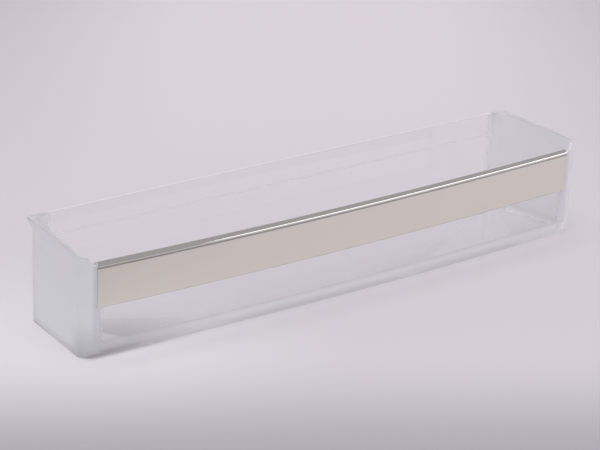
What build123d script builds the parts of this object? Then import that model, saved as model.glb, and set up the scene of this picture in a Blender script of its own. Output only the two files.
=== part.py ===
from build123d import *
import os
from math import asin, atan, cos, degrees, radians, sin, sqrt, tan

# Fridge door shelf: a clear moulded tray and a metal strip clipped over its bowed front edge.
# Millimetres. X runs along the shelf, the front looks towards -Y, the foot stands on Z = 0.

# Tray: outer sizes
length_back = 451.5          # along the back wall
length_front = 473.5         # across the front corners, before they are rounded
depth = 88.0                 # back face to the middle of the bowed front
front_bow = 7.1              # how far the front stands out between its corners
back_height = 82.0
end_height = 76.5            # top of the end walls where they reach the front
front_height = 71.0          # top of the strip on the front edge
front_draft = 1.0            # degrees, the front wall leans out
end_draft = 0.2              # degrees, the end walls lean out

# Tray: walls and radii
wall = 2.5
floor = 2.8
front_corner_radius = 8.0
back_corner_radius = 4.0
foot_radius = 3.0
cavity_back_radius = 8.0
cavity_floor_radius = 6.5
rim_radius = 0.8

# Hanging bands along the top of the end walls, which rest on the door's lugs
band_out = 3.5               # how far they stand out at the back corners
band_tip = 2.5               # height at the back corners
band_corner_radius = 1.5
band_lead = 18.0             # from the back face to where they have their full height
band_height = 10.0
band_run = 66.0              # from the back face to where they have run into the end wall
band_set = 0.3               # they start this far in front of the back face

# Shallow recess along the top of the back wall, inside
ledge_drop = 18.0
ledge_depth = 0.6

# Trim strip: flat face with a rolled top edge
post_width = 13.25           # front wall left bare at each end of the strip
post_drop = 1.5              # the posts end this far under the top of the strip
ramp_run = 8.0               # over this length the rim rises from there to the end walls' height
ramp_ease = 0.45             # share of that run over which each end of the S levels out
trim_height = 33.3
trim_sheet = 0.8
trim_roll = 3.2              # outer radius of the rolled edge
trim_wrap = 40.0             # degrees that the roll goes on past level, inside the tray
trim_proud = 0.2             # the strip's face stands out this far from the front wall
trim_gap = 0.1               # between the strip and the tray behind and under it
trim_end_gap = 0.3           # between the strip's ends and the posts

# Worked out from the sizes above
depth_ends = depth - front_bow
back_y = (depth + trim_proud) / 2
front_y = back_y - depth
roll_z = front_height - trim_roll
bow_radius = ((length_front / 2) ** 2 + front_bow ** 2) / (2 * front_bow)
bow_axis = Axis((0, front_y + bow_radius, 0), (0, 0, 1))
end_slope = (length_front - length_back) / 2 / depth_ends
end_lean = tan(radians(end_draft))
rim_slope = (back_height - end_height) / depth_ends
rim_lean = atan(rim_slope)
rim_plane = Plane(
    origin=(0, back_y - depth_ends / 2, (back_height + end_height) / 2),
    x_dir=(1, 0, 0),
    z_dir=(0, -cos(rim_lean), -sin(rim_lean)),
)
post_dip = end_height - front_height + post_drop
trim_half = length_front / 2 - post_width
seat_half = trim_half + trim_end_gap
roll_centre = trim_proud - trim_roll
seat_face = trim_proud - trim_sheet - trim_gap
trim_foot = trim_roll - trim_height
cavity_front_radius = front_corner_radius - wall
round_share = 0.9            # a rounded foot takes at most this share of the corners that it goes round
cavity_foot_radius = min(cavity_floor_radius, round_share * min(cavity_front_radius, cavity_back_radius))
outer_foot_radius = min(foot_radius, round_share * min(back_corner_radius, front_corner_radius))
past = 20.0                  # how far cutting shapes run past what they cut
cut_half = max(length_front, length_back) / 2 + past
rim_top = back_height + past


def half_length(from_back, height, inset):
    """Half the length between the end walls' faces, moved in by inset."""
    lean = end_lean * (back_height - height)
    return length_back / 2 + end_slope * from_back - lean - inset * sqrt(1 + end_slope ** 2)


def plan_section(height, inset, front_radius, back_radius):
    """Rounded outline of the walls at one height, moved in by inset: straight back and ends, bowed front."""
    lean = radians(front_draft)
    bow = bow_radius + (height - roll_z) * tan(lean) - inset / cos(lean)
    bow_centre = Vector(0, bow_axis.position.Y)
    across_end = Vector(1, end_slope).normalized()

    # Middle of the back corner, which touches the back and the end
    near_y = back_y - inset - back_radius
    near_x = half_length(back_y - near_y, height, inset + back_radius)
    near = Vector(near_x, near_y)

    # Middle of the front corner, which touches the end and the bow: where a line meets a circle
    line_x = half_length(back_y, height, inset + front_radius)
    steep = 1 + end_slope ** 2
    middle = (line_x * end_slope + bow_centre.Y) / steep
    rest = (line_x ** 2 + bow_centre.Y ** 2 - (bow - front_radius) ** 2) / steep
    far_y = middle - sqrt(middle ** 2 - rest)
    far = Vector(line_x - end_slope * far_y, far_y)
    across_bow = (far - bow_centre).normalized()

    back_end = near + Vector(0, back_radius)
    back_mid = near + (Vector(0, 1) + across_end).normalized() * back_radius
    end_back = near + across_end * back_radius
    end_front = far + across_end * front_radius
    front_mid = far + (across_end + across_bow).normalized() * front_radius
    front_end = far + across_bow * front_radius
    with BuildSketch(Plane.XY.offset(height)) as section:
        with BuildLine():
            Line((-back_end.X, back_end.Y), back_end)
            ThreePointArc(back_end, back_mid, end_back)
            Line(end_back, end_front)
            ThreePointArc(end_front, front_mid, front_end)
            ThreePointArc(front_end, (0, bow_centre.Y - bow), (-front_end.X, front_end.Y))
            for first, via, last in ((front_end, front_mid, end_front), (end_back, back_mid, back_end)):
                ThreePointArc((-first.X, first.Y), (-via.X, via.Y), (-last.X, last.Y))
            Line((-end_front.X, end_front.Y), (-end_back.X, end_back.Y))
        make_face()
    return section.sketch


def rim_z(from_back):
    """Height of the sloping rim of the end walls."""
    return back_height - rim_slope * from_back


def front_section(half_span):
    """Plane across the front wall at one end of a span: x out of the wall, y up along its slope."""
    turn = -asin(half_span / bow_radius)
    lean = radians(front_draft)
    outward = Vector(sin(turn), -cos(turn), 0)
    up = Vector(0, 0, 1)
    origin = bow_axis.position + outward * bow_radius + up * roll_z
    across = outward * cos(lean) - up * sin(lean)
    along = outward * sin(lean) + up * cos(lean)
    return Plane(origin, x_dir=across, z_dir=across.cross(along))


def span_angle(half_span):
    """Angle about the bow's axis that a span of the front takes."""
    return 2 * degrees(asin(half_span / bow_radius))


# Hanging bands: one slab under the sloping rim, wider than the tray towards the back, without its middle
band_end = band_run + wall
band_back = length_back / 2 + band_out
band_front = half_length(band_run, rim_z(band_run), 0)
band_far = band_back + (band_front - band_back) * (band_run + past) / band_run
with BuildPart() as hanging_band:
    with BuildSketch(Plane.YZ):
        with BuildLine():
            Polyline(
                (back_y - band_set, rim_z(band_set)),
                (back_y - band_set, rim_z(0) - band_tip),
                (back_y - band_lead, rim_z(band_lead) - band_height),
                (back_y - band_end, rim_z(band_end) - band_height),
                (back_y - band_end, rim_z(band_end)),
                close=True,
            )
        make_face()
    extrude(amount=length_back + length_front, both=True)
    with BuildSketch():
        with BuildLine():
            Polyline(
                (-band_back, back_y),
                (band_back, back_y),
                (band_far, back_y - band_run - past),
                (-band_far, back_y - band_run - past),
                close=True,
            )
        make_face()
    extrude(amount=rim_top, mode=Mode.INTERSECT)
    fillet(hanging_band.edges().filter_by(Axis.Z).group_by(Axis.Y)[-1], band_corner_radius)
    band_rim = hanging_band.faces().filter_by(lambda face: face.normal_at().Z > 0.1)
    fillet(band_rim.edges().sort_by(Axis.Y)[1:], rim_radius)
    loft(
        [
            plan_section(0, wall / 2, cavity_front_radius, back_corner_radius),
            plan_section(rim_top, wall / 2, cavity_front_radius, back_corner_radius),
        ],
        ruled=True,
        mode=Mode.SUBTRACT,
    )

# Inside of the tray
with BuildPart() as cavity:
    loft(
        [
            plan_section(floor, wall, cavity_front_radius, cavity_back_radius),
            plan_section(rim_top, wall, cavity_front_radius, cavity_back_radius),
        ],
        ruled=True,
    )
    fillet(cavity.faces().sort_by(Axis.Z)[0].edges(), cavity_foot_radius)

# Recess in the back wall
with BuildPart() as ledge:
    ledge_half = half_length(wall, back_height, wall) - cavity_back_radius
    with BuildSketch(Plane.XZ.offset(wall - back_y)):
        with Locations((0, back_height - ledge_drop)):
            Rectangle(2 * ledge_half, ledge_drop + past, align=(Align.CENTER, Align.MIN))
    extrude(amount=-ledge_depth)

# Strip's seat: a shallow recess in the front wall, open at the top for the rolled edge
with BuildPart() as trim_seat:
    with BuildSketch(front_section(seat_half)):
        with Locations((seat_face, trim_foot - trim_gap)):
            Rectangle(past, trim_height + past, align=(Align.MIN, Align.MIN))
        with Locations((-wall - trim_roll, 0)):
            Rectangle(past, past, align=(Align.MIN, Align.MIN))
    revolve(axis=bow_axis, revolution_arc=span_angle(seat_half))

# Bead along the front edge, which the rolled edge of the strip clips over
with BuildPart() as front_bead:
    with BuildSketch(front_section(seat_half)):
        with Locations((roll_centre, 0)):
            Circle(trim_roll - trim_sheet - trim_gap)
    revolve(axis=bow_axis, revolution_arc=span_angle(seat_half))

with BuildPart() as tray:
    loft(
        [
            plan_section(0, 0, front_corner_radius, back_corner_radius),
            plan_section(rim_top, 0, front_corner_radius, back_corner_radius),
        ],
        ruled=True,
    )
    fillet(tray.faces().sort_by(Axis.Z)[0].edges(), outer_foot_radius)
    add(cavity.part, mode=Mode.SUBTRACT)

    # Rim: slopes down towards the front
    with BuildSketch(rim_plane):
        Rectangle(2 * cut_half, rim_top, align=(Align.CENTER, Align.MIN))
    extrude(amount=depth, both=True, mode=Mode.SUBTRACT)

    # Posts: alongside the end walls the rim drops in an S to the ends of the strip
    ramp_foot = seat_half - end_slope * depth_ends / 2
    ramp_top = ramp_foot + ramp_run
    ramp_pull = ramp_run * ramp_ease
    for side in (-1, 1):
        with BuildSketch(rim_plane):
            with BuildLine():
                Bezier(
                    (side * ramp_foot, -post_dip),
                    (side * (ramp_foot + ramp_pull), -post_dip),
                    (side * (ramp_top - ramp_pull), 0),
                    (side * ramp_top, 0),
                )
                Polyline(
                    (side * ramp_top, 0),
                    (side * ramp_top, past),
                    (-side * ramp_foot / 2, past),
                    (-side * ramp_foot / 2, -post_dip),
                    (side * ramp_foot, -post_dip),
                )
            make_face()
        along_end = Vector(side * end_slope, -1, -rim_slope).normalized()
        extrude(amount=depth, dir=along_end, mode=Mode.SUBTRACT)
    rim = tray.faces().filter_by(lambda face: face.normal_at().Z > 0.1)
    rim = rim.filter_by(lambda face: face.center().Z > floor + cavity_floor_radius)
    walls = tray.faces().filter_by(lambda face: abs(face.normal_at().Z) < 0.1)
    fillet(rim.edges() & walls.edges(), rim_radius)
    add(hanging_band.part)
    add(trim_seat.part, mode=Mode.SUBTRACT)
    add(ledge.part, mode=Mode.SUBTRACT)
    add(front_bead.part)

    # Flat back face, which stands against the door
    with BuildSketch(Plane.XZ.offset(-back_y)):
        with Locations((0, back_height / 2)):
            Rectangle(length_back / 2, back_height / 2)
    extrude(amount=wall)

with BuildPart() as trim:
    with BuildSketch(front_section(trim_half)):
        end_angle = radians(180 + trim_wrap)
        inner_roll = trim_roll - trim_sheet
        end_out = (roll_centre + trim_roll * cos(end_angle), trim_roll * sin(end_angle))
        end_in = (roll_centre + inner_roll * cos(end_angle), inner_roll * sin(end_angle))
        with BuildLine():
            Line((trim_proud, trim_foot), (trim_proud, 0))
            CenterArc((roll_centre, 0), trim_roll, 0, 180 + trim_wrap)
            Line(end_out, end_in)
            CenterArc((roll_centre, 0), inner_roll, 0, 180 + trim_wrap)
            Polyline(
                (trim_proud - trim_sheet, 0),
                (trim_proud - trim_sheet, trim_foot),
                (trim_proud, trim_foot),
            )
        make_face()
    revolve(axis=bow_axis, revolution_arc=span_angle(trim_half))

os.makedirs("parts", exist_ok=True)
tray.part.label = "door_tray"
trim.part.label = "front_trim"
export_step(tray.part, "parts/door_tray.step")
export_step(trim.part, "parts/front_trim.step")
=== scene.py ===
from math import cos, radians, sin

import bpy
import numpy as np
from mathutils import Matrix, Vector


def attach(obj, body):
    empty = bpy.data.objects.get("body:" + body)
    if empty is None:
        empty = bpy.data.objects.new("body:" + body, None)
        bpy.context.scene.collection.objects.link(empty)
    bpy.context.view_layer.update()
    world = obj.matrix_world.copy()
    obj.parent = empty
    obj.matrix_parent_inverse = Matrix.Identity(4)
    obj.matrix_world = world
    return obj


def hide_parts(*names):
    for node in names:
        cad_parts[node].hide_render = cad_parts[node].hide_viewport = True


# Fridge door shelf: clear moulded tray, milky ends, satin metal strip over the bowed front edge.
# Metres, the same frame as the CAD: X along the shelf, front towards -Y, foot on Z = 0.

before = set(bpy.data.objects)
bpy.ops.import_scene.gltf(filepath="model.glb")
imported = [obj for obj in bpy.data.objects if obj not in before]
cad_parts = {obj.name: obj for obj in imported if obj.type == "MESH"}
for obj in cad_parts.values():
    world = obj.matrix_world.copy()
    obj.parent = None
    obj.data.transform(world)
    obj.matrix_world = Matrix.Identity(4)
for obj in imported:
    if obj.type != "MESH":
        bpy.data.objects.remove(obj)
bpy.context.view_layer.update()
print("frame loaded:", sorted(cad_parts))

scene = bpy.context.scene
scene.view_settings.view_transform = "Standard"


class Wire:
    # one output socket: sums and products of wires add their Math nodes

    def __init__(self, tree, socket=None):
        self.tree = tree
        self.socket = socket

    def node(self, kind, settings=None, values=None, out=0):
        # any node: its settings first, then its sockets, each a value or a wire
        made = self.tree.nodes.new("ShaderNode" + kind)
        for name, value in (settings or {}).items():
            setattr(made, name, value)
        for name, value in (values or {}).items():
            if isinstance(value, Wire):
                self.tree.links.new(value.socket, made.inputs[name])
            else:
                made.inputs[name].default_value = value
        return Wire(self.tree, made.outputs[out] if len(made.outputs) else None)

    def other(self, name):
        return Wire(self.tree, self.socket.node.outputs[name])

    def math(self, operation, *terms):
        return self.node("Math", {"operation": operation}, dict(enumerate(terms)))

    def __add__(self, term):
        return self.math("ADD", self, term)

    def __radd__(self, term):
        return self.math("ADD", term, self)

    def __sub__(self, term):
        return self.math("SUBTRACT", self, term)

    def __rsub__(self, term):
        return self.math("SUBTRACT", term, self)

    def __mul__(self, term):
        return self.math("MULTIPLY", self, term)

    def __rmul__(self, term):
        return self.math("MULTIPLY", term, self)

    def __abs__(self):
        return self.math("ABSOLUTE", self)

    def step(self, low, high, start=0.0, end=1.0):
        # smooth step from start to end as the value goes from low to high
        return self.node(
            "MapRange",
            {"interpolation_type": "SMOOTHSTEP"},
            {"Value": self, "From Min": low, "From Max": high, "To Min": start, "To Max": end},
        )

    def fall(self, low, high):
        # from 1 down to 0
        return self.step(low, high, 1.0, 0.0)

    def mixTint(self, factor, first, second):
        values = {"Factor": factor, "A": first, "B": second}
        return self.node("Mix", {"data_type": "RGBA"}, values, out="Result")

    def mixShader(self, factor, first, second):
        return self.node("MixShader", None, {0: factor, 1: first, 2: second})


def newMaterial(name):
    material = bpy.data.materials.new(name)
    material.use_nodes = True
    material.node_tree.nodes.clear()
    return material, Wire(material.node_tree)


def noise(wire, place, scale, detail, rough):
    return wire.node(
        "TexNoise",
        {"noise_dimensions": "3D"},
        {"Vector": place, "Scale": scale, "Detail": detail, "Roughness": rough},
        out="Fac",
    )


def bump(wire, height, strength, distance):
    return wire.node("Bump", None, {"Strength": strength, "Distance": distance, "Height": height})


# Tray: what its finish is measured from; a pair is where a soft edge starts and ends
tray = {
    "halfBack": 0.22575,            # half the length along the back
    "endSlope": 0.13597,            # the ends flare out towards the front
    "backY": 0.0441,
    "backHeight": 0.082,
    "rimSlope": 0.06799,            # the rim of the ends falls towards the front
    "frontY": -0.0439,              # middle of the bowed front
    "bow": 0.12656,                 # the front falls back by this times x squared
    "floorTop": 0.0028,
    "ledgeZ": 0.064,                # shallow ledge inside the back wall
    "fade": 0.0009,                 # narrow soft edges
    "milkyBack": 0.008,             # the ends are milky this far in, round the back corners
    "milkyFront": 0.0135,           # and round the front corners
    "milkyTurn": (0.02, 0.06),
    "backFade": 0.009,              # how softly that ends
    "frontFade": 0.006,
    "fadeTurn": (0.005, 0.015),
    "floorFade": 0.012,             # on the floor it fades out slowly, and starts sooner
    "floorStart": 0.012,
    "floorSkin": 0.0006,
    "footBand": 0.011,              # half-milky border along the foot of the front
    "footDepth": 0.0095,
    "footShare": 0.55,
    "bandHeight": 0.0102,           # hanging bands under the rim of the ends, painted a little darker as shade
    "bandRun": 0.0665,
    "borderReach": (-0.005, -0.002),    # painted shade on the upright border just outside the clear window
    "borderFoot": (0.0088, 0.0102),
    "levelHeight": (0.004, 0.010),      # painted shade on level parts: inside at the foot of the ends, and top edges
    "levelFront": (0.0045, 0.0075),
    "levelEnd": (0.0015, 0.003),
    "levelRim": (0.0004, 0.0014),
    "shadeLength": (-0.235, -0.1),      # painted shade at the foot of the left front corner
    "shadeHeight": (0.0, 0.034),
    "shadeDepth": (0.004, 0.02),
    "rimTop": (0.0002, 0.0004),         # painted shade line on the top of the back wall
    "ledgeHalf": (0.0003, 0.0006),      # painted shade line on the edge of the ledge, on the inner face alone
    "ledgeFace": (0.0012, 0.0016),
    "backWall": (0.004, 0.005),         # the painted pale edges end here, in from the back
    "edgeShare": 0.9,
    "waves": (38.0, 1.0, 0.5),          # noise: scale, detail, roughness
    "smears": (16.0, 3.0, 0.6),
    "grain": (1400.0, 2.0, 0.5),
    "waveBump": (0.12, 0.00012),        # strength, distance
    "grainBump": (0.3, 0.00006),
    "clearRough": (0.02, 0.03),         # roughness, and what the smears add
    "frostedRough": (0.44, 0.1),
    "cloudyRough": (0.5, 0.1),
    "paleRough": (0.35, 0.1),
    "bandGloss": 0.14,                  # the bands are this much less rough
    "clearPass": 1.0,                   # share of the light that goes through
    "frostedPass": 0.57,
    "cloudyPass": 0.15,
    "cloudyShare": 0.5,                 # of the milky finish at the front
    "index": 1.5,
    "clearTint": (0.995, 0.992, 0.998, 1.0),
    "frontTint": (0.972, 0.972, 0.982, 1.0),    # clear part of the front wall
    "milkyTint": (0.962, 0.973, 0.99, 1.0),
    "bandShadeTint": (0.95, 0.962, 0.985, 1.0),
    "borderShadeTint": (0.84, 0.85, 0.88, 1.0),
    "levelShadeTint": (0.76, 0.76, 0.785, 1.0),
    "shadeTint": (0.68, 0.685, 0.71, 1.0),
    "edgeShadeTint": (0.97, 0.93, 0.975, 1.0),
    "rimShadeTint": (0.915, 0.877, 0.92, 1.0),
    "clearShade": (0.985, 0.985, 0.985, 1.0),   # share of lamp light that each surface lets through
    "milkyShade": (0.85, 0.85, 0.855, 1.0),
}


def inFromFront(x, y):
    # distance behind the bowed front
    return y - tray["frontY"] - x * x * tray["bow"]


def clearPlastic():
    material, wire = newMaterial("clear_plastic")
    place = wire.node("TexCoord", out="Object")
    apart = wire.node("SeparateXYZ", None, {0: place})
    x, y, z = apart, apart.other("Y"), apart.other("Z")
    fade, floorTop, footBand = (tray[name] for name in ("fade", "floorTop", "footBand"))
    fromBack = tray["backY"] - y
    fromEnd = fromBack * tray["endSlope"] + tray["halfBack"] - abs(x)
    fromFront = inFromFront(x, y)
    underRim = tray["backHeight"] - fromBack * tray["rimSlope"] - z

    # milky near the outer planes of the ends, and along the foot of the front: a clear window is left between
    pastEnd = fromEnd - fromBack.step(*tray["milkyTurn"], tray["milkyBack"], tray["milkyFront"])
    softness = wire.math(
        "MAXIMUM",
        z.step(floorTop, 2 * floorTop, tray["floorFade"], tray["frontFade"]),
        fromBack.step(*tray["fadeTurn"], tray["backFade"], tray["frontFade"]),
    )
    sooner = z.step(floorTop, floorTop + tray["floorSkin"], tray["floorStart"], 0.0)
    nearEnd = wire.math("DIVIDE", pastEnd + sooner, softness).fall(0.0, 1.0)
    nearFoot = z.fall(footBand, footBand + fade)
    nearFront = fromFront.fall(tray["footDepth"], tray["footDepth"] + fade)
    milky = wire.math("MAXIMUM", nearEnd, nearFoot * nearFront * tray["footShare"])

    # painted shade: the milky parts are painted a little darker on the hanging bands, on the border round the
    # clear window, on level parts, and at the foot of the left front corner
    onBand = underRim.fall(tray["bandHeight"], tray["bandHeight"] + fade)
    onBand = onBand * fromBack.fall(tray["bandRun"], tray["bandRun"] + fade)
    onBorder = pastEnd.step(*tray["borderReach"]) * z.step(*tray["borderFoot"]) * nearFront
    onLevel = z.fall(*tray["levelHeight"]) * fromFront.step(*tray["levelFront"])
    onLevel = onLevel * fromEnd.step(*tray["levelEnd"])
    onLevel = wire.math("MAXIMUM", onLevel, underRim.fall(*tray["levelRim"]))
    inShade = x.fall(*tray["shadeLength"]) * z.fall(*tray["shadeHeight"])
    inShade = inShade * fromFront.fall(*tray["shadeDepth"])

    # pale edges, a painted shade line: the top of the back wall and the edge of the ledge inside it are
    # painted a pale grey, a little darker on the rim
    onRim = underRim.fall(*tray["rimTop"])
    onLedge = abs(z - tray["ledgeZ"]).fall(*tray["ledgeHalf"]) * fromBack.step(*tray["ledgeFace"])
    onEdge = wire.math("MAXIMUM", onRim, onLedge) * fromBack.fall(*tray["backWall"]) * (1 - nearEnd)

    # long soft waves from the mould, smears, and a fine grain on the milky parts
    waves, smears, grain = (noise(wire, place, *tray[name]) for name in ("waves", "smears", "grain"))
    waveBump = bump(wire, waves, *tray["waveBump"])
    grainBump = bump(wire, grain, *tray["grainBump"])

    def rough(name):
        plain, smeared = tray[name]
        return plain + smears * smeared

    def plastic(tint, roughness, passing, normal):
        return wire.node(
            "BsdfPrincipled",
            None,
            {
                "Base Color": tint,
                "Roughness": roughness,
                "IOR": tray["index"],
                "Transmission Weight": passing,
                "Normal": normal,
            },
        )

    # painted shade: the milky tint is darkened on the bands, the window's border, the level parts and the
    # foot of the left front corner
    tint = wire.mixTint(onBand, tray["milkyTint"], tray["bandShadeTint"])
    tint = wire.mixTint(onBorder, tint, tray["borderShadeTint"])
    tint = wire.mixTint(onLevel, tint, tray["levelShadeTint"])
    tint = wire.mixTint(inShade, tint, tray["shadeTint"])
    clearTint = wire.mixTint(nearFront, tray["clearTint"], tray["frontTint"])
    paleShadeTint = wire.mixTint(onRim, tray["edgeShadeTint"], tray["rimShadeTint"])
    bandRough = rough("frostedRough") - onBand * tray["bandGloss"]
    clear = plastic(clearTint, rough("clearRough"), tray["clearPass"], waveBump)
    frosted = plastic(tint, bandRough, tray["frostedPass"], grainBump)
    cloudy = plastic(tint, rough("cloudyRough"), tray["cloudyPass"], grainBump)
    pale = wire.node("BsdfPrincipled", None, {"Base Color": paleShadeTint, "Roughness": rough("paleRough")})

    # lamps reach through the thin walls, less where they are milky
    path = wire.node("LightPath", out="Is Shadow Ray")
    thin = wire.node("BsdfTransparent", None, {"Color": tray["clearShade"]})
    dim = wire.node("BsdfTransparent", None, {"Color": tray["milkyShade"]})
    clear = wire.mixShader(path, clear, thin)
    frosted = wire.mixShader(nearFront * tray["cloudyShare"], frosted, cloudy)
    frosted = wire.mixShader(path, frosted, dim)
    pale = wire.mixShader(path, pale, dim)
    body = wire.mixShader(milky, clear, frosted)
    body = wire.mixShader(onEdge * tray["edgeShare"], body, pale)
    done = wire.mixShader(path.other("Is Diffuse Ray"), body, thin)
    wire.node("OutputMaterial", None, {"Surface": done})
    return material


# Strip: sheet metal, flat face and an edge rolled over the bead
strip = {
    "bowRadius": 3.950673,
    "bowAxisY": 3.906773,
    "rollZ": 0.0678,                # middle of the roll
    "draft": 1.0,                   # degrees, leans out with the front wall
    "half": 0.2235,                 # half its length
    "proud": 0.0002,
    "sheet": 0.0008,
    "roll": 0.0032,                 # outer radius of the rolled edge
    "wrap": 40.0,                   # degrees past a half turn, inside the tray
    "foot": 0.0301,                 # face below the roll's middle
    "edge": 0.0002,                 # rounded ends
    "crease": (0.00028, -0.0008, 0.00035),      # under the roll: depth, height from its middle, width
    "rows": 260,                    # along the strip
    "faceSteps": 22,                # round the section: face, crease, roll
    "creaseSteps": 21,
    "creaseRun": 0.003,
    "rollSteps": 56,
    "capSteps": 9,
    "edgeSteps": 6,
    "polish": (-0.0012, 0.0002),    # heights from the roll's middle
    # painted shade line in the crease under the roll: height from the roll's middle, soft half width
    "creaseShadeAt": -0.0006,
    "creaseShadeHalf": (0.0005, 0.0008),
    "drawn": (6.0, 900.0, 900.0),   # the grain is drawn out along the strip
    "grain": (1.0, 3.0, 0.6),       # noise: scale, detail, roughness
    "cloud": (22.0, 2.0, 0.5),
    "satinRough": 0.33,
    "grainRough": 0.06,
    "cloudRough": 0.04,
    "rollRough": 0.04,
    "grainBump": (0.12, 0.00002),   # strength, distance
    "tint": (0.875, 0.845, 0.757, 1.0),
    "rollTint": (0.95, 0.93, 0.91, 1.0),
    "creaseShadeTint": (0.42, 0.40, 0.39, 1.0),
}


def unit(angle):
    return np.stack([np.cos(angle), np.sin(angle)], 1)


def stripMesh():
    # Section: a ribbon of even thickness. Its middle line runs straight up the face, then round the roll's
    # centre. Offset by half the sheet either way, with half circles at its two edges, it gives the outline.
    # A bell curve across the outside sinks the crease.
    half = strip["sheet"] / 2
    centre = strip["proud"] - strip["roll"]
    radius = strip["roll"] - half
    turn = np.radians(180 + strip["wrap"])
    rise = np.concatenate([
        np.linspace(-strip["foot"] + half, -strip["creaseRun"], strip["faceSteps"]),
        np.linspace(-strip["creaseRun"], 0, strip["creaseSteps"])[1:],
    ])
    angle = np.linspace(0, turn, strip["rollSteps"])[1:]
    u = np.concatenate([np.full(len(rise), centre + radius), centre + radius * np.cos(angle)])
    v = np.concatenate([rise, radius * np.sin(angle)])
    normal = np.concatenate([np.zeros(len(rise)), angle])
    line = np.stack([u, v], 1)
    out = unit(normal)
    depth, middle, width = strip["crease"]
    outer = line + half * out
    outer[:len(rise), 0] -= depth * np.exp(-((rise - middle) / width) ** 2)
    cap = np.linspace(0, np.pi, strip["capSteps"])[1:-1]
    topCap = unit(normal[-1] + cap)
    footCap = unit(np.pi + cap)
    outline = np.concatenate([
        outer,
        line[-1] + half * topCap,
        (line - half * out)[::-1],
        line[0] + half * footCap,
    ])
    facing = np.concatenate([out, topCap, -out[::-1], footCap])

    # Carried along the bow: each row is the outline turned about the bow's axis, and the last rows at each
    # end draw the outline in by a quarter circle.
    edge = strip["edge"]
    quarter = np.linspace(0, np.pi / 2, strip["edgeSteps"])[1:]
    along = np.linspace(-strip["half"] + edge, strip["half"] - edge, strip["rows"])
    shrink = edge * (1 - np.cos(quarter))
    grow = edge * np.sin(quarter)
    along = np.concatenate([(along[0] - grow)[::-1], along, along[-1] + grow])
    inset = np.concatenate([shrink[::-1], np.zeros(strip["rows"]), shrink])
    points = outline[None] - inset[:, None, None] * facing[None]
    lean = radians(strip["draft"])
    reach = strip["bowRadius"] + points[..., 0] * cos(lean) + points[..., 1] * sin(lean)
    height = strip["rollZ"] - points[..., 0] * sin(lean) + points[..., 1] * cos(lean)
    bearing = np.arcsin(along / strip["bowRadius"])[:, None]
    spots = np.stack([
        reach * np.sin(bearing),
        strip["bowAxisY"] - reach * np.cos(bearing),
        height,
    ], -1)

    # side faces between rows, and end faces that bridge the outside to the inside
    rows, loop = spots.shape[:2]
    first = np.arange(rows - 1)[:, None] * loop
    here = np.arange(loop)[None]
    ahead = (here + 1) % loop
    sides = np.stack([first + here, first + loop + here, first + loop + ahead, first + ahead], -1)
    sides = sides.reshape(-1, 4)
    ribbon = len(line)
    near = np.arange(ribbon - 1)
    far = 2 * ribbon + len(cap) - 1 - near
    ends = np.stack([near, near + 1, far - 1, far], 1)
    lastRow = (rows - 1) * loop
    quads = np.concatenate([sides, ends, ends[:, ::-1] + lastRow])
    topRing = np.arange(ribbon - 1, ribbon + len(cap) + 1)
    footRing = np.concatenate([np.arange(2 * ribbon + len(cap) - 1, loop), [0]])
    rings = [list(topRing), list(footRing), list(topRing[::-1] + lastRow), list(footRing[::-1] + lastRow)]
    mesh = bpy.data.meshes.new("trim_strip")
    mesh.from_pydata(spots.reshape(-1, 3).tolist(), [], quads.tolist() + rings)
    smooth = np.ones(len(mesh.polygons), bool)
    smooth[len(sides):] = False
    mesh.polygons.foreach_set("use_smooth", smooth)
    mesh.validate()
    return mesh


def satinMetal():
    material, wire = newMaterial("satin_metal")
    place = wire.node("TexCoord", out="Object")
    fromRoll = wire.node("SeparateXYZ", None, {0: place}, out="Z") - strip["rollZ"]

    # rolled edge polished, face satin with a fine grain drawn along the strip
    polished = fromRoll.step(*strip["polish"])
    drawn = wire.node("Mapping", None, {"Vector": place, "Scale": strip["drawn"]})
    grain = noise(wire, drawn, *strip["grain"])
    cloud = noise(wire, place, *strip["cloud"])
    satin = strip["satinRough"] + grain * strip["grainRough"] + cloud * strip["cloudRough"]
    rough = satin * (1 - polished) + polished * strip["rollRough"]
    grainBump = bump(wire, grain * (1 - polished), *strip["grainBump"])
    # painted shade darkens the crease under the roll
    inCreaseShade = abs(fromRoll - strip["creaseShadeAt"]).fall(*strip["creaseShadeHalf"])
    tint = wire.mixTint(polished, strip["tint"], strip["rollTint"])
    tint = wire.mixTint(inCreaseShade, tint, strip["creaseShadeTint"])
    metal = wire.node(
        "BsdfPrincipled",
        None,
        {"Base Color": tint, "Metallic": 1.0, "Roughness": rough, "Normal": grainBump},
    )
    wire.node("OutputMaterial", None, {"Surface": metal})
    return material


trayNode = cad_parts["door_tray"]
trayNode.data.materials.clear()
trayNode.data.materials.append(clearPlastic())
print("tray: clear plastic with milky ends")

trimStrip = bpy.data.objects.new("trim_strip", stripMesh())
scene.collection.objects.link(trimStrip)
trimStrip.data.materials.append(satinMetal())
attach(trimStrip, "root")
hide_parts("front_trim")
print("strip:", len(trimStrip.data.polygons), "faces")


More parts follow.
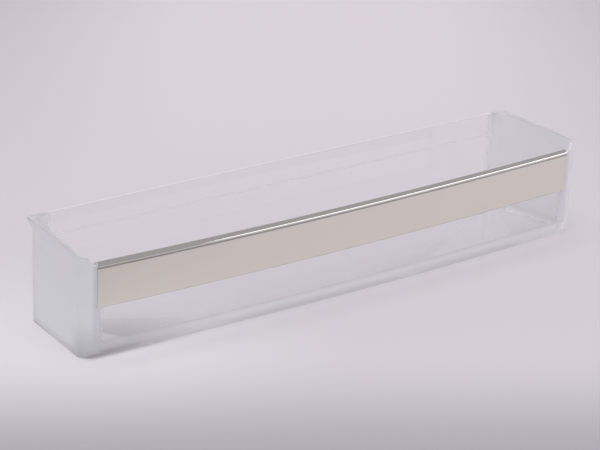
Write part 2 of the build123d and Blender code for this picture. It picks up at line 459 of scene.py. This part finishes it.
# Stage: pale floor, soft lamps, plain surroundings; a pair is where a soft change starts and ends
stage = {
    "floorHalf": 6.0,
    "ahead": (-0.566, -0.825),      # on the floor, down the picture
    "aside": (0.777, -0.63),        # and across it
    "far": (-0.95, 0.12),           # painted light: the floor is lighter behind
    "side": (0.1, 0.4),             # painted shade: darker at the sides behind
    "behind": (-0.4, 0.0),
    "glowSpot": (-0.27, -0.02, 0.0),    # painted pool of light beside the left end
    "glow": (0.06, 0.24),
    "underStart": (0.003, 0.012),   # painted shadow under the left end, measured in from it
    "underEnd": (0.012, 0.12),
    "underFront": (-0.003, 0.005),
    "underBack": (-0.02, 0.055),
    "near": (0.14, 0.34),           # painted shade: darker in front
    "rough": 0.9,
    "gloss": 0.1,
    "floorTint": (0.72, 0.675, 0.722, 1.0),
    "farLitTint": (0.885, 0.82, 0.88, 1.0),
    "sideShadeTint": (0.69, 0.645, 0.695, 1.0),
    "glowTint": (0.79, 0.775, 0.815, 1.0),
    "underShadowTint": (0.36, 0.345, 0.375, 1.0),
    "nearShadeTint": (0.445, 0.425, 0.462, 1.0),
    "around": (0.50, 0.488, 0.51, 1.0),
    "backdrop": (0.66, 0.62, 0.668, 1.0),
    "upper": (0.645, 0.61, 0.655, 1.0),
    "dusk": (0.34, 0.33, 0.33, 1.0),
    "upperFrom": (0.2, 0.9),        # parts of a direction of length 1: up, and towards the back
    "duskAbove": (0.4, 0.42),
    "duskFront": (-0.25, 0.0),
    "duskLow": (0.0, 0.04),
    "lamps": {
        # name: place, aim, width, height, power in watts
        "top": ((-0.3, 0.1, 2.1), (0.0, 0.0, 0.03), 1.7, 1.7, 15.0),
        "front": ((-0.45, -0.85, 1.95), (0.0, 0.0, 0.03), 1.3, 1.3, 8.0),
        "side": ((1.61, -1.283, 0.5), (0.0, -0.04, 0.07), 1.8, 0.36, 3.0),
    },
}


def layFloor():
    half = stage["floorHalf"]
    corners = [(-half, -half, 0), (half, -half, 0), (half, half, 0), (-half, half, 0)]
    mesh = bpy.data.meshes.new("floor")
    mesh.from_pydata(corners, [], [(0, 1, 2, 3)])
    floor = bpy.data.objects.new("floor", mesh)
    scene.collection.objects.link(floor)
    material, wire = newMaterial("pale_floor")
    place = wire.node("TexCoord", out="Object")
    apart = wire.node("SeparateXYZ", None, {0: place})
    x, y = apart, apart.other("Y")
    ahead = x * stage["ahead"][0] + y * stage["ahead"][1]
    aside = abs(x * stage["aside"][0] + y * stage["aside"][1])
    away = wire.node("VectorMath", {"operation": "DISTANCE"}, {0: place, 1: stage["glowSpot"]}, out="Value")
    fromLeft = (tray["backY"] - y) * tray["endSlope"] + tray["halfBack"] + x
    under = fromLeft.step(*stage["underStart"]) * fromLeft.fall(*stage["underEnd"])
    under = under * inFromFront(x, y).step(*stage["underFront"]) * y.fall(*stage["underBack"])
    # painted light and shade on the floor: lighter behind, darker at the sides behind and in front, a pool of
    # light beside the left end and a shadow under it
    tint = wire.mixTint(ahead.fall(*stage["far"]), stage["floorTint"], stage["farLitTint"])
    beside = aside.step(*stage["side"]) * ahead.fall(*stage["behind"])
    tint = wire.mixTint(beside, tint, stage["sideShadeTint"])
    tint = wire.mixTint(away.fall(*stage["glow"]), tint, stage["glowTint"])
    tint = wire.mixTint(under, tint, stage["underShadowTint"])
    tint = wire.mixTint(ahead.step(*stage["near"]), tint, stage["nearShadeTint"])
    paper = wire.node(
        "BsdfPrincipled",
        None,
        {"Base Color": tint, "Roughness": stage["rough"], "Specular IOR Level": stage["gloss"]},
    )
    wire.node("OutputMaterial", None, {"Surface": paper})
    mesh.materials.append(material)


def buildSurroundings():
    world = bpy.data.worlds.new("studio")
    scene.world = world
    world.use_nodes = True
    world.node_tree.nodes.clear()
    wire = Wire(world.node_tree)
    way = wire.node("SeparateXYZ", None, {0: wire.node("TexCoord", out="Generated")})
    high = way.other("Z")
    path = wire.node("LightPath", out="Is Camera Ray")
    names = ("around", "backdrop", "upper", "dusk")
    light = {name: wire.node("Background", None, {"Color": stage[name]}) for name in names}
    seen = wire.mixShader(high.step(*stage["upperFrom"]), light["backdrop"], light["upper"])

    # the metal mirrors a dark room above the backdrop and in front
    inFront = way.other("Y").fall(*stage["duskFront"]) * high.step(*stage["duskLow"])
    dark = wire.math("MAXIMUM", high.step(*stage["duskAbove"]), inFront)
    mirrored = wire.mixShader(dark, light["backdrop"], light["dusk"])
    mixed = wire.mixShader(path.other("Is Glossy Ray"), light["around"], mirrored)

    # the camera sees the backdrop, also through the clear plastic
    direct = wire.math("MAXIMUM", path, path.other("Is Transmission Ray"))
    mixed = wire.mixShader(direct, mixed, seen)
    wire.node("OutputWorld", None, {"Surface": mixed})


def hangLamps():
    for name, (spot, aim, width, height, power) in stage["lamps"].items():
        lamp = bpy.data.lights.new(name, "AREA")
        lamp.shape = "RECTANGLE"
        lamp.size = width
        lamp.size_y = height
        lamp.energy = power
        holder = bpy.data.objects.new(name, lamp)
        scene.collection.objects.link(holder)
        holder.visible_transmission = False         # no lamp shows in the clear edges
        holder.location = spot
        holder.rotation_euler = (Vector(aim) - Vector(spot)).to_track_quat("-Z", "Y").to_euler()


layFloor()
buildSurroundings()
hangLamps()
print("stage: floor, surroundings and", len(stage["lamps"]), "lamps")

# Camera: fitted to the photograph's 600 x 450 frame
view = {
    "azimuth": -39.044,
    "elevation": 20.281,
    "roll": 1.959,
    "distance": 1.83432,
    "target": (-0.020667, -0.0059, 0.047939),
    "lens": 147.402,
    "sensor": 36.0,
    "nearest": 0.05,
    "furthest": 50.0,
}


def placeCamera():
    turn, rise, tip = (radians(view[name]) for name in ("azimuth", "elevation", "roll"))
    back = Vector((sin(turn) * cos(rise), -cos(turn) * cos(rise), sin(rise)))
    right = Vector((0, 0, 1)).cross(back).normalized()
    up = back.cross(right)
    tilted = (right * cos(tip) + up * sin(tip), up * cos(tip) - right * sin(tip), back)
    lens = bpy.data.cameras.new("camera")
    lens.sensor_fit = "HORIZONTAL"
    lens.sensor_width = view["sensor"]
    lens.lens = view["lens"]
    lens.clip_start = view["nearest"]
    lens.clip_end = view["furthest"]
    holder = bpy.data.objects.new("camera", lens)
    scene.collection.objects.link(holder)
    axes = Matrix([[axis[i] for axis in tilted] for i in range(3)])
    holder.matrix_world = Matrix.Translation(Vector(view["target"]) + back * view["distance"]) @ axes.to_4x4()
    scene.camera = holder


placeCamera()
print("camera placed")
